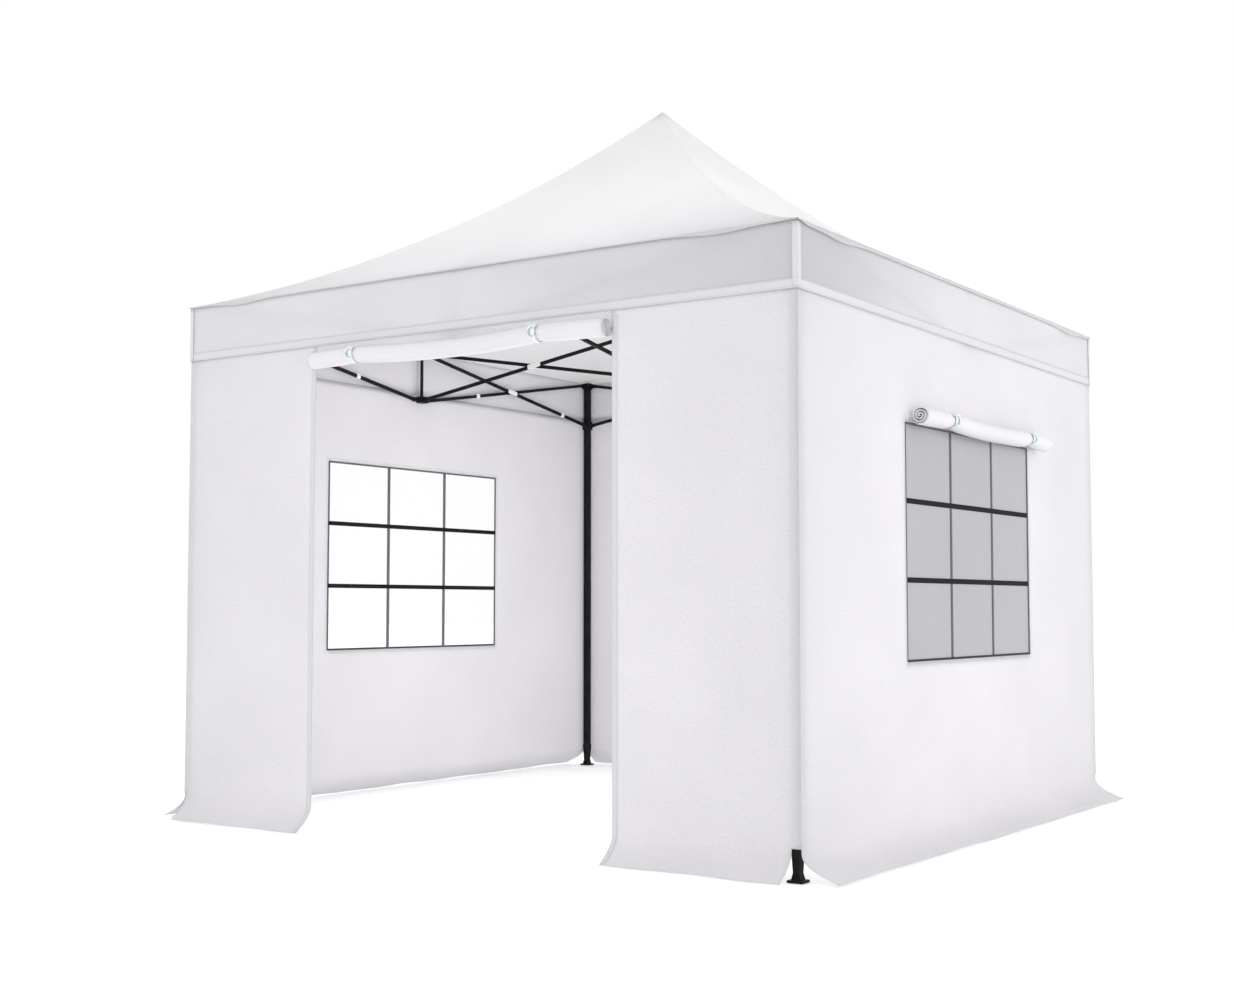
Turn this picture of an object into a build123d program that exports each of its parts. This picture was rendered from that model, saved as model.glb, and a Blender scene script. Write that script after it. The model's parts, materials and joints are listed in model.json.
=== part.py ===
"""A 3 m square pop up canopy: a folding scissor frame on four legs, its roof cover and four walls.

The origin is on the ground at the middle of the canopy, with +Z up. The doorway is in the front
wall, which faces -Y. Sizes are in millimetres, and the frame is shown open.
"""
from build123d import *
import math
import os

os.makedirs("parts", exist_ok=True)

# ---- driving dimensions: the open frame ----
HALF_WIDTH = 1500.0          # middle of the canopy to the valance's outer face
LEG_CENTRE = 1470.0          # middle of the canopy to each leg, along X and along Y
UPPER_Z = 2200.0             # height of every upper pivot
LOWER_Z = 1968.0             # height of every lower pivot in the open frame
HUB_REACH = 50.0             # middle of a hub, or of a side connector, to its pivots
LEG_REACH = 45.0             # middle of a leg, or a side's plane, to the pivots that it carries
BAR_OFFSET = 9.0             # plane of a truss to the middle of each of its two bars

# ---- bars and their pivots ----
BAR_HEIGHT = 17.0
BAR_THICK = 12.0
BAR_WALL = 1.0
BAR_CORNER = 2.0
PLUG_START = 24.0            # pivot to the end of the tube
PLUG_DEPTH = 20.0            # length of an end plug inside the tube
JOIN_GAP = 0.05              # gap round a piece that is pressed or glued into another
PIN_RADIUS = 3.0
PIN_CLEARANCE = 0.05
RIVET_RADIUS = 6.0
RIVET_HEIGHT = 2.0
SIDE_GAP = 0.3               # gap at each side of a bar in a fork, or beside its neighbour
SPACER_RADIUS = 7.5
EAR_THICK = 3.5
EAR_RADIUS = 10.0

# ---- legs and feet ----
LEG_SIZE = 32.0
LEG_WALL = 1.2
LEG_CORNER = 3.0
LEG_BOTTOM = 120.0
LEG_TOP = 2212.0
BRACKET_SIZE = 44.0
BRACKET_DEPTH = 34.0
BRACKET_CAP = 5.0
SLIDER_HEIGHT = 44.0
SLIDER_GAP = 0.5
LATCH_RADIUS = 8.0
LATCH_LENGTH = 12.0
INNER_LEG_SIZE = 28.6
INNER_LEG_TOP = 1100.0
FLANGE_SIZE = 58.0
FLANGE_THICK = 8.0
CONE_SIZE = 36.0             # foot's width on its flange
NECK_SIZE = 26.0             # foot's width at its narrowest
NECK_Z = 32.0
SOCKET_BOTTOM = 92.0
FOOT_TOP = 118.0
FOOT_TOP_SIZE = 35.0
STAKE_RADIUS = 4.5
STAKE_SPREAD = 23.0

# ---- hubs, side connectors and peak pole ----
HUB_SIZE = 60.0
HUB_HEIGHT = 40.0
HUB_CORNER = 8.0
CONNECTOR_WIDTH = 60.0
CONNECTOR_INNER = 22.0       # side's plane to the connector's face towards the middle
CONNECTOR_OUTER = 13.0       # side's plane to the connector's face towards the wall
CONNECTOR_HEIGHT = 32.0
POST_RADIUS = 8.0
POST_SEAT = 8.0              # depth of the post's end in the lower connector
POST_CLEARANCE = 0.5
POLE_RADIUS = 15.0
POLE_WALL = 1.5
POLE_CLEARANCE = 0.08
POLE_BOTTOM = 1992.0
POLE_TOP = 3165.0
CORE_TOP = 2420.0
CAP_RADIUS = 28.0
CAP_SKIRT = 15.0
CAP_EDGE = 3170.0
CAP_TOP = 3204.0
CAP_TAPER = 33.0             # slope of the cap's side from upright, in degrees
CAP_TIP_FILLET = 3.0

# ---- fabric ----
EAVE_Z = 2223.0
PEAK_Z = 3218.5
ROOF_SAG_Z = 2455.25         # pull point of the roof's parabola, halfway in from the eave
ROOF_THICK = 2.0
FABRIC_THICK = 1.5
SEAM_GAP = 0.2               # gap left between two pieces that are sewn together
VALANCE_BOTTOM = 1985.0
WALL_FACE = 1497.0           # middle of the canopy to a wall's outer face
WALL_TOP = 2000.0
WALL_BEND = 100.0            # height at which a wall starts to flare outwards
SKIRT_REACH = {"front": 88.0, "right": 140.0, "back": 88.0, "left": 140.0}
SKIRT_LOW = 3.0
CORNER_INSET = 14.0          # wall's side edge to its ground skirt, which leaves a slit there
DOOR_HALF = 740.0
DOOR_TOP = 1966.0
ROLL_RADIUS = 40.0
DOOR_ROLL_Z = 1928.0
DOOR_ROLL_REACH = 1516.0     # middle of the canopy to the rolled door's axis
DOOR_ROLL_ENDS = (-740.0, 730.0)
DOOR_TIES = (-500.0, 420.0)
WINDOW_HALF = 640.0
WINDOW_BOTTOM = 705.0
WINDOW_TOP = 1610.0
WINDOW_ROWS = (1012.0, 1312.0)
WINDOW_LAP = 18.0
FILM_THICK = 1.0
MULLION_WIDTH = 22.0
MULLION_THICK = 2.0
WINDOW_ROLL_Z = 1640.0
WINDOW_ROLL_ENDS = (-604.0, 760.0)
WINDOW_TIES = (-317.0, 538.0)
TIE_WIDTH = 30.0
TIE_THICK = 2.0
TIE_GAP = 0.5
TIE_OPENING = 50.0           # half angle of the gap in a tie's ring, in degrees

# ---- worked out from the driving dimensions ----
BAR_SPAN = LEG_CENTRE - HUB_REACH - LEG_REACH
BAR_RISE = UPPER_Z - LOWER_Z
BAR_LENGTH = math.hypot(BAR_SPAN, BAR_RISE)
TUBE_LENGTH = BAR_LENGTH - 2 * PLUG_START
BORE_RADIUS = PIN_RADIUS + PIN_CLEARANCE
FORK_GAP = BAR_THICK / 2 + SIDE_GAP
WALL_INNER = WALL_FACE - FABRIC_THICK
SKIRT_DROP = WALL_BEND - SKIRT_LOW
UP = Vector(0, 0, 1)
SIDES = ("front", "right", "back", "left")
CORNERS = ("front_right", "back_right", "back_left", "front_left")


# ---- planes of the four sides ----
def outward(side):
    """Direction from the middle of the canopy to a side."""
    angle = math.radians(90 * SIDES.index(side) - 90)
    return Vector(round(math.cos(angle)), round(math.sin(angle)), 0)


def along(side):
    """Direction along a side, anticlockwise seen from above."""
    return UP.cross(outward(side))


def wall_plane(side, distance, height=0.0):
    """Plane parallel to a side, with x along it, y up and z outwards."""
    return Plane(outward(side) * distance + UP * height, x_dir=along(side), z_dir=outward(side))


def rafter_plane(side, offset, height=0.0):
    """Upright plane from the middle to a side, with x outwards, y up and z against the side."""
    return Plane(along(side) * offset + UP * height, x_dir=outward(side), z_dir=-along(side))


def finish(piece, name):
    """Label a finished piece and write it out."""
    piece.label = name
    export_step(piece, f"parts/{name}.step")


# ---- scissor bars ----
def scissor_bar(truss, start, end, partner=0):
    """A tube bar with two end plugs, from pivot to pivot on the truss plane.

    The partner is the side of the truss plane, +1 or -1, on which the bar's partner runs, and the
    bar then carries their common pin. With 0 the bar has the hole for its partner's pin.
    """
    tilt = math.degrees(math.atan2(end[1] - start[1], end[0] - start[0]))
    middle = ((start[0] + end[0]) / 2, (start[1] + end[1]) / 2, 0)
    face = Plane(truss.location * Location(middle, (0, 0, tilt)))
    section = Plane(face.origin, x_dir=face.y_dir, z_dir=face.x_dir)
    bore_height = BAR_HEIGHT - 2 * BAR_WALL
    bore_thick = BAR_THICK - 2 * BAR_WALL
    with BuildPart() as bar:
        with BuildSketch(section):
            RectangleRounded(BAR_HEIGHT, BAR_THICK, BAR_CORNER)
            RectangleRounded(bore_height, bore_thick, BAR_CORNER / 2, mode=Mode.SUBTRACT)
        extrude(amount=TUBE_LENGTH / 2, both=True)
        if partner:
            length = 2 * BAR_OFFSET + BAR_THICK + SIDE_GAP + 2 * RIVET_HEIGHT
            with BuildSketch(face.offset(-partner * (BAR_THICK / 2 + RIVET_HEIGHT))):
                Circle(PIN_RADIUS)
            extrude(amount=partner * length)
            with BuildSketch(face.offset(-partner * BAR_THICK / 2)):
                Circle(RIVET_RADIUS)
            extrude(amount=-partner * RIVET_HEIGHT)
            with BuildSketch(face.offset(partner * (2 * BAR_OFFSET + BAR_THICK / 2 + SIDE_GAP))):
                Circle(RIVET_RADIUS)
            extrude(amount=partner * RIVET_HEIGHT)
            with BuildSketch(face.offset(partner * BAR_THICK / 2)):
                Circle(SPACER_RADIUS)
            extrude(amount=partner * (2 * BAR_OFFSET - BAR_THICK - SIDE_GAP))
        else:
            with BuildSketch(face):
                Circle(BORE_RADIUS)
            extrude(amount=BAR_THICK, both=True, mode=Mode.SUBTRACT)
        for end_sign in (-1, 1):
            tube_end = end_sign * TUBE_LENGTH / 2
            pivot = end_sign * BAR_LENGTH / 2
            head = PLUG_START - JOIN_GAP
            with BuildSketch(face):
                with Locations(((tube_end + pivot + end_sign * JOIN_GAP) / 2, 0)):
                    Rectangle(head, BAR_HEIGHT)
                with Locations((pivot, 0)):
                    Circle(BAR_HEIGHT / 2)
                    Circle(BORE_RADIUS, mode=Mode.SUBTRACT)
            extrude(amount=BAR_THICK / 2, both=True)
            with BuildSketch(face):
                with Locations((tube_end + end_sign * (JOIN_GAP * 2 - PLUG_DEPTH) / 2, 0)):
                    Rectangle(PLUG_DEPTH + 2 * JOIN_GAP, bore_height - 2 * JOIN_GAP - BAR_CORNER)
            extrude(amount=bore_thick / 2 - JOIN_GAP, both=True)
    return bar.part


for side in SIDES:
    low_start = (HUB_REACH, UPPER_Z)
    low_end = (LEG_CENTRE - LEG_REACH, LOWER_Z)
    high_start = (HUB_REACH, LOWER_Z)
    high_end = (LEG_CENTRE - LEG_REACH, UPPER_Z)
    falling = scissor_bar(rafter_plane(side, BAR_OFFSET), low_start, low_end, partner=1)
    finish(falling, f"{side}_inner_bar_falling")
    rising = scissor_bar(rafter_plane(side, -BAR_OFFSET), high_start, high_end)
    finish(rising, f"{side}_inner_bar_rising")
    for end_name, sign in (("near", -1), ("far", 1)):
        inside = wall_plane(side, LEG_CENTRE - BAR_OFFSET)
        outside = wall_plane(side, LEG_CENTRE + BAR_OFFSET)
        start, end = (sign * low_start[0], low_start[1]), (sign * low_end[0], low_end[1])
        falling = scissor_bar(inside, start, end, partner=1)
        finish(falling, f"{side}_{end_name}_bar_falling")
        start, end = (sign * high_start[0], high_start[1]), (sign * high_end[0], high_end[1])
        rising = scissor_bar(outside, start, end)
        finish(rising, f"{side}_{end_name}_bar_rising")


# ---- forks: two ears and a pin that hold a bar's end ----
def fork(pivot, toward_body, axis, reach):
    """Ears round a pivot, joined to a body whose face is at the given reach from the pivot."""
    face = Plane(pivot, x_dir=toward_body, z_dir=axis)
    with BuildPart() as ears:
        for ear_sign in (-1, 1):
            with BuildSketch(face.offset(ear_sign * FORK_GAP)):
                Circle(EAR_RADIUS)
                Rectangle(reach + 1, 2 * EAR_RADIUS, align=(Align.MIN, Align.CENTER))
            extrude(amount=ear_sign * EAR_THICK)
        with BuildSketch(face):
            Circle(PIN_RADIUS)
        extrude(amount=FORK_GAP + EAR_THICK + 1, both=True)
    return ears.part


def inner_fork(side, offset, height, distance, toward, reach):
    """Fork of a bar that runs between the middle and a side."""
    pivot = outward(side) * distance + along(side) * offset + UP * height
    return fork(pivot, outward(side) * toward, along(side), reach)


def side_fork(side, offset, height, distance, toward, reach):
    """Fork of a bar that runs along a side."""
    pivot = outward(side) * distance + along(side) * offset + UP * height
    return fork(pivot, along(side) * toward, outward(side), reach)


# ---- centre hubs, peak pole and peak cap ----
def hub_forks(height, offset):
    """The four forks of a centre hub."""
    reach = HUB_REACH - HUB_SIZE / 2
    return [inner_fork(side, offset, height, HUB_REACH, -1, reach) for side in SIDES]


upper_forks = hub_forks(UPPER_Z, BAR_OFFSET)
with BuildPart() as centre_top_hub:
    with BuildSketch(Plane.XY.offset(UPPER_Z - HUB_HEIGHT / 2)):
        RectangleRounded(HUB_SIZE, HUB_SIZE, HUB_CORNER)
    extrude(amount=HUB_HEIGHT)
    for ears in upper_forks:
        add(ears)
    with BuildSketch(Plane.XY.offset(UPPER_Z - HUB_HEIGHT)):
        Circle(POLE_RADIUS + POLE_CLEARANCE)
    extrude(amount=2 * HUB_HEIGHT, mode=Mode.SUBTRACT)
finish(centre_top_hub.part, "centre_top_hub")

lower_forks = hub_forks(LOWER_Z, -BAR_OFFSET)
with BuildPart() as centre_bottom_hub:
    with BuildSketch(Plane.XY.offset(LOWER_Z - HUB_HEIGHT / 2)):
        RectangleRounded(HUB_SIZE, HUB_SIZE, HUB_CORNER)
    extrude(amount=HUB_HEIGHT)
    for ears in lower_forks:
        add(ears)
    core_radius = POLE_RADIUS - POLE_WALL - POLE_CLEARANCE
    with BuildSketch(Plane.XY.offset(LOWER_Z)):
        Circle(core_radius)
    extrude(amount=CORE_TOP - LOWER_Z)
    with BuildSketch(Plane.XY.offset(LOWER_Z + HUB_HEIGHT / 2)):
        Circle(core_radius - POLE_WALL)
    extrude(amount=CORE_TOP, mode=Mode.SUBTRACT)
finish(centre_bottom_hub.part, "centre_bottom_hub")

with BuildPart() as peak_pole:
    with BuildSketch(Plane.XY.offset(POLE_BOTTOM)):
        Circle(POLE_RADIUS)
        Circle(POLE_RADIUS - POLE_WALL, mode=Mode.SUBTRACT)
    extrude(amount=POLE_TOP - POLE_BOTTOM)
finish(peak_pole.part, "peak_pole")

cap_bottom = POLE_TOP - CAP_SKIRT
with BuildPart() as peak_cap:
    with BuildSketch(Plane.XY.offset(cap_bottom)):
        Circle(CAP_RADIUS)
    extrude(amount=CAP_EDGE - cap_bottom)
    with BuildSketch(Plane.XY.offset(CAP_EDGE)):
        Circle(CAP_RADIUS)
    extrude(amount=CAP_TOP - CAP_EDGE, taper=CAP_TAPER)
    fillet(peak_cap.edges().group_by(Axis.Z)[-1], radius=CAP_TIP_FILLET)
    with BuildSketch(Plane.XY.offset(cap_bottom)):
        Circle(POLE_RADIUS + JOIN_GAP)
    extrude(amount=CAP_SKIRT + JOIN_GAP, mode=Mode.SUBTRACT)
finish(peak_cap.part, "peak_cap")


# ---- side connectors ----
def connector_block(side, height):
    """Block of a side connector, with a bar's fork towards the middle and one at each end."""
    upper = height == UPPER_Z
    inner_offset = -BAR_OFFSET if upper else BAR_OFFSET
    side_distance = LEG_CENTRE - BAR_OFFSET if upper else LEG_CENTRE + BAR_OFFSET
    inner_reach = LEG_REACH - CONNECTOR_INNER
    side_reach = HUB_REACH - CONNECTOR_WIDTH / 2
    forks = [inner_fork(side, inner_offset, height, LEG_CENTRE - LEG_REACH, 1, inner_reach)]
    for sign in (-1, 1):
        forks.append(side_fork(side, sign * HUB_REACH, height, side_distance, -sign, side_reach))
    with BuildPart() as block:
        with BuildSketch(wall_plane(side, LEG_CENTRE - CONNECTOR_INNER, height)):
            RectangleRounded(CONNECTOR_WIDTH, CONNECTOR_HEIGHT, HUB_CORNER)
        extrude(amount=CONNECTOR_INNER + CONNECTOR_OUTER)
        for ears in forks:
            add(ears)
    return block.part


post_foot = LOWER_Z + CONNECTOR_HEIGHT / 2 - POST_SEAT
for side in SIDES:
    top_block = connector_block(side, UPPER_Z)
    low_block = connector_block(side, LOWER_Z)
    middle = outward(side) * LEG_CENTRE
    with BuildPart() as top_connector:
        add(top_block)
        with BuildSketch(Plane(middle + UP * (post_foot + 1))):
            Circle(POST_RADIUS)
        extrude(amount=UPPER_Z - post_foot)
    finish(top_connector.part, f"{side}_top_connector")
    with BuildPart() as bottom_connector:
        add(low_block)
        with BuildSketch(Plane(middle + UP * post_foot)):
            Circle(POST_RADIUS + POST_CLEARANCE)
        extrude(amount=POST_SEAT, mode=Mode.SUBTRACT)
    finish(bottom_connector.part, f"{side}_bottom_connector")


# ---- legs, sliders and lower legs with their feet ----
def corner_forks(corner, height, distance):
    """The two forks that a leg's bracket or slider holds out to the bars of its two sides."""
    index = CORNERS.index(corner)
    reach = LEG_REACH - BRACKET_SIZE / 2
    first, second = SIDES[index], SIDES[(index + 1) % 4]
    offset = LEG_CENTRE - LEG_REACH
    return [
        side_fork(first, offset, height, distance, 1, reach),
        side_fork(second, -offset, height, distance, -1, reach),
    ]


def corner_point(corner):
    """Middle of a corner's leg."""
    index = CORNERS.index(corner)
    return (outward(SIDES[index]) + along(SIDES[index])) * LEG_CENTRE


for corner in CORNERS:
    centre = corner_point(corner)
    bracket_forks = corner_forks(corner, UPPER_Z, LEG_CENTRE + BAR_OFFSET)
    bracket_bottom = UPPER_Z - BRACKET_DEPTH / 2
    with BuildPart() as leg:
        with BuildSketch(Plane(centre + UP * LEG_BOTTOM)):
            RectangleRounded(LEG_SIZE, LEG_SIZE, LEG_CORNER)
            bore = LEG_SIZE - 2 * LEG_WALL
            RectangleRounded(bore, bore, LEG_CORNER - LEG_WALL, mode=Mode.SUBTRACT)
        extrude(amount=LEG_TOP - LEG_BOTTOM)
    socket = LEG_SIZE + 2 * JOIN_GAP
    with BuildPart() as bracket:
        with BuildSketch(Plane(centre + UP * bracket_bottom)):
            RectangleRounded(BRACKET_SIZE, BRACKET_SIZE, LEG_CORNER)
        extrude(amount=LEG_TOP + JOIN_GAP + BRACKET_CAP - bracket_bottom)
        for ears in bracket_forks:
            add(ears)
        with BuildSketch(Plane(centre + UP * bracket_bottom)):
            RectangleRounded(socket, socket, LEG_CORNER)
        extrude(amount=LEG_TOP + JOIN_GAP - bracket_bottom, mode=Mode.SUBTRACT)
    with BuildPart() as leg_with_bracket:
        add(leg.part)
        add(bracket.part)
    finish(leg_with_bracket.part, f"{corner}_leg")

    slider_forks = corner_forks(corner, LOWER_Z, LEG_CENTRE - BAR_OFFSET)
    inward = (-centre).normalized()
    with BuildPart() as slider:
        with BuildSketch(Plane(centre + UP * (LOWER_Z - SLIDER_HEIGHT / 2))):
            RectangleRounded(BRACKET_SIZE, BRACKET_SIZE, LEG_CORNER)
        extrude(amount=SLIDER_HEIGHT)
        for ears in slider_forks:
            add(ears)
        latch_start = centre + inward * (BRACKET_SIZE / 2) + UP * LOWER_Z
        with BuildSketch(Plane(latch_start, z_dir=inward)):
            Circle(LATCH_RADIUS)
        extrude(amount=LATCH_LENGTH + BRACKET_SIZE / 4)
        bore = LEG_SIZE + 2 * SLIDER_GAP
        with BuildSketch(Plane(centre + UP * (LOWER_Z - SLIDER_HEIGHT))):
            RectangleRounded(bore, bore, LEG_CORNER)
        extrude(amount=2 * SLIDER_HEIGHT, mode=Mode.SUBTRACT)
    finish(slider.part, f"{corner}_slider")

    with BuildPart() as inner_leg:
        with BuildSketch(Plane(centre + UP * (SOCKET_BOTTOM + JOIN_GAP))):
            RectangleRounded(INNER_LEG_SIZE, INNER_LEG_SIZE, LEG_CORNER - LEG_WALL)
            bore = INNER_LEG_SIZE - 2 * LEG_WALL
            Rectangle(bore, bore, mode=Mode.SUBTRACT)
        extrude(amount=INNER_LEG_TOP - SOCKET_BOTTOM)
    with BuildPart() as foot:
        with BuildSketch(Plane(centre)):
            RectangleRounded(FLANGE_SIZE, FLANGE_SIZE, LEG_CORNER)
            with Locations((-STAKE_SPREAD, -STAKE_SPREAD), (STAKE_SPREAD, STAKE_SPREAD)):
                Circle(STAKE_RADIUS, mode=Mode.SUBTRACT)
        extrude(amount=FLANGE_THICK)
        with BuildSketch(Plane(centre + UP * FLANGE_THICK)):
            Rectangle(CONE_SIZE, CONE_SIZE)
        with BuildSketch(Plane(centre + UP * NECK_Z)):
            Rectangle(NECK_SIZE, NECK_SIZE)
        loft()
        with BuildSketch(Plane(centre + UP * NECK_Z)):
            Rectangle(NECK_SIZE, NECK_SIZE)
        with BuildSketch(Plane(centre + UP * FOOT_TOP)):
            Rectangle(FOOT_TOP_SIZE, FOOT_TOP_SIZE)
        loft()
        with BuildSketch(Plane(centre + UP * SOCKET_BOTTOM)):
            socket = INNER_LEG_SIZE + 2 * JOIN_GAP
            RectangleRounded(socket, socket, LEG_CORNER - LEG_WALL)
        extrude(amount=FOOT_TOP, mode=Mode.SUBTRACT)
    with BuildPart() as lower_leg:
        add(inner_leg.part)
        add(foot.part)
    finish(lower_leg.part, f"{corner}_lower_leg")


# ---- roof cover and valance ----
def roof_gore(side):
    """One sagging roof panel, mitred to its neighbours at the hips."""
    with BuildPart() as gore:
        with BuildSketch(rafter_plane(side, -HALF_WIDTH)):
            with BuildLine():
                Bezier((HALF_WIDTH, EAVE_Z), (HALF_WIDTH / 2, ROOF_SAG_Z), (0, PEAK_Z))
                Line((0, PEAK_Z), (0, PEAK_Z - ROOF_THICK))
                Bezier(
                    (0, PEAK_Z - ROOF_THICK),
                    (HALF_WIDTH / 2, ROOF_SAG_Z - ROOF_THICK),
                    (HALF_WIDTH, EAVE_Z - ROOF_THICK),
                )
                Line((HALF_WIDTH, EAVE_Z - ROOF_THICK), (HALF_WIDTH, EAVE_Z))
            make_face()
        extrude(amount=-2 * HALF_WIDTH)
        corner_in = outward(side) * SEAM_GAP
        corner_a = outward(side) * (HALF_WIDTH + SEAM_GAP) + along(side) * HALF_WIDTH
        corner_b = outward(side) * (HALF_WIDTH + SEAM_GAP) - along(side) * HALF_WIDTH
        with BuildSketch(Plane.XY.offset(EAVE_Z - 2 * ROOF_THICK)):
            with BuildLine():
                Polyline(corner_in, corner_a, corner_b, close=True)
            make_face()
        extrude(amount=PEAK_Z - EAVE_Z + 4 * ROOF_THICK, mode=Mode.INTERSECT)
    return gore.part


gores = [roof_gore(side) for side in SIDES]
with BuildPart() as roof_cover:
    for gore in gores:
        add(gore)
finish(roof_cover.part, "roof_cover")

with BuildPart() as valance:
    for side in SIDES:
        inset = 0 if side in ("front", "back") else FABRIC_THICK + SEAM_GAP
        valance_top = EAVE_Z - ROOF_THICK - SEAM_GAP
        with BuildSketch(wall_plane(side, HALF_WIDTH - FABRIC_THICK, VALANCE_BOTTOM)):
            Rectangle(
                2 * (HALF_WIDTH - inset),
                valance_top - VALANCE_BOTTOM,
                align=(Align.CENTER, Align.MIN),
            )
        extrude(amount=FABRIC_THICK)
finish(valance.part, "valance")


# ---- walls ----
def wall_panel(side, left, right, bottom, top, window=False):
    """An upright panel of a wall, with the window's opening if it has one."""
    with BuildPart() as panel:
        with BuildSketch(wall_plane(side, WALL_INNER)):
            with Locations(((left + right) / 2, (bottom + top) / 2)):
                Rectangle(right - left, top - bottom)
            if window:
                with Locations((0, (WINDOW_BOTTOM + WINDOW_TOP) / 2)):
                    Rectangle(2 * WINDOW_HALF, WINDOW_TOP - WINDOW_BOTTOM, mode=Mode.SUBTRACT)
        extrude(amount=FABRIC_THICK)
    return panel.part


def ground_skirt(side, left, right):
    """The part of a wall that flares out to the ground."""
    reach = SKIRT_REACH[side]
    length = math.hypot(reach, SKIRT_DROP)
    slope = (outward(side) * SKIRT_DROP + UP * reach) / length
    origin = outward(side) * WALL_FACE + UP * WALL_BEND
    with BuildPart() as skirt:
        with BuildSketch(Plane(origin, x_dir=along(side), z_dir=slope)):
            with Locations(((left + right) / 2, 0)):
                Rectangle(right - left, length, align=(Align.CENTER, Align.MAX))
        extrude(amount=-FABRIC_THICK)
    return skirt.part


wall_half = WALL_INNER - 1
skirt_half = wall_half - CORNER_INSET
front_pieces = [
    wall_panel("front", -wall_half, -DOOR_HALF, WALL_BEND, WALL_TOP),
    wall_panel("front", DOOR_HALF, wall_half, WALL_BEND, WALL_TOP),
    wall_panel("front", SEAM_GAP - DOOR_HALF, DOOR_HALF - SEAM_GAP, DOOR_TOP, WALL_TOP),
    ground_skirt("front", -skirt_half, -DOOR_HALF),
    ground_skirt("front", DOOR_HALF, skirt_half),
]
with BuildPart() as front_wall:
    for piece in front_pieces:
        add(piece)
finish(front_wall.part, "front_wall")

for side in ("right", "back", "left"):
    panel = wall_panel(side, -wall_half, wall_half, WALL_BEND, WALL_TOP, window=side != "back")
    skirt = ground_skirt(side, -skirt_half, skirt_half)
    with BuildPart() as wall:
        add(panel)
        add(skirt)
    finish(wall.part, f"{side}_wall")


# ---- windows: film and its grid ----
for side in ("right", "left"):
    film_half = WINDOW_HALF + WINDOW_LAP
    film_height = WINDOW_TOP - WINDOW_BOTTOM
    with BuildPart() as window:
        with BuildSketch(wall_plane(side, WALL_INNER - SEAM_GAP - FILM_THICK)):
            with Locations((0, (WINDOW_BOTTOM + WINDOW_TOP) / 2)):
                Rectangle(2 * film_half, film_height + 2 * WINDOW_LAP)
        extrude(amount=FILM_THICK)
        with BuildSketch(wall_plane(side, WALL_INNER - SEAM_GAP)):
            for row in WINDOW_ROWS:
                with Locations((0, row)):
                    Rectangle(2 * WINDOW_HALF - 2, MULLION_WIDTH)
            with Locations((0, (WINDOW_BOTTOM + WINDOW_TOP) / 2)):
                with GridLocations(2 * WINDOW_HALF / 3, 0, 2, 1):
                    Rectangle(MULLION_WIDTH, film_height - 2)
        extrude(amount=MULLION_THICK)
    finish(window.part, f"{side}_window")


# ---- rolled door and rolled window cover, with their ties ----
def roll(side, distance, height, ends):
    """A rolled up panel that lies along a side."""
    start = outward(side) * distance + along(side) * ends[0] + UP * height
    with BuildPart() as rolled:
        with BuildSketch(Plane(start, x_dir=UP, z_dir=along(side))):
            Circle(ROLL_RADIUS)
        extrude(amount=ends[1] - ends[0])
    return rolled.part


def ties(side, distance, height, places):
    """Open rings of strap round a roll, with their gap on top."""
    inner = ROLL_RADIUS + TIE_GAP
    with BuildPart() as straps:
        for place in places:
            start = outward(side) * distance + along(side) * (place - TIE_WIDTH / 2) + UP * height
            with BuildSketch(Plane(start, x_dir=UP, z_dir=along(side))):
                with BuildLine():
                    ring = CenterArc((0, 0), inner, TIE_OPENING, 360 - 2 * TIE_OPENING)
                    outer = CenterArc((0, 0), inner + TIE_THICK, TIE_OPENING, 360 - 2 * TIE_OPENING)
                    Line(ring @ 0, outer @ 0)
                    Line(ring @ 1, outer @ 1)
                make_face()
            extrude(amount=TIE_WIDTH)
    return straps.part


window_roll_distance = WALL_FACE + ROLL_RADIUS + TIE_THICK + 2 * TIE_GAP
finish(roll("front", DOOR_ROLL_REACH, DOOR_ROLL_Z, DOOR_ROLL_ENDS), "rolled_door")
finish(ties("front", DOOR_ROLL_REACH, DOOR_ROLL_Z, DOOR_TIES), "door_ties")
finish(
    roll("right", window_roll_distance, WINDOW_ROLL_Z, WINDOW_ROLL_ENDS), "rolled_window_cover"
)
finish(ties("right", window_roll_distance, WINDOW_ROLL_Z, WINDOW_TIES), "window_ties")
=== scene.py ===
import json
import math

import bpy
import numpy as np
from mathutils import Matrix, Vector, noise


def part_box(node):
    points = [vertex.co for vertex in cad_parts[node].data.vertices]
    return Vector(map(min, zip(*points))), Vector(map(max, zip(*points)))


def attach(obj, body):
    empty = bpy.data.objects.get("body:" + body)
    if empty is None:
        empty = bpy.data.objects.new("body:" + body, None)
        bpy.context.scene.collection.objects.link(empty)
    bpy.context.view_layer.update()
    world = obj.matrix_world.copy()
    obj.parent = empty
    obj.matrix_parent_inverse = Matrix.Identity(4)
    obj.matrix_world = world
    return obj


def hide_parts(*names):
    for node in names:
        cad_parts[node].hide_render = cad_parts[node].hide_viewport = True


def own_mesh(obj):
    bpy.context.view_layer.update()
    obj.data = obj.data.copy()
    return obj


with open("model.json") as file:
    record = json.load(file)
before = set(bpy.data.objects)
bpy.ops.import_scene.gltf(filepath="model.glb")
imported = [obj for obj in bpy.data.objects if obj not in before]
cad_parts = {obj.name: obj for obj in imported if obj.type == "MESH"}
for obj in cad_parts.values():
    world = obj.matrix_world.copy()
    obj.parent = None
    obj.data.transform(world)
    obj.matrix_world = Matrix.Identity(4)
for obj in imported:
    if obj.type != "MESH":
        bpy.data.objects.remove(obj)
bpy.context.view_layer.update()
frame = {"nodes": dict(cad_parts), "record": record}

# A 3 m pop up canopy. Lengths are in metres, and places come from the CAD frame's boxes. A side's
# own directions are along it, outwards and up. The doorway is in the front side, which faces -Y.

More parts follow.
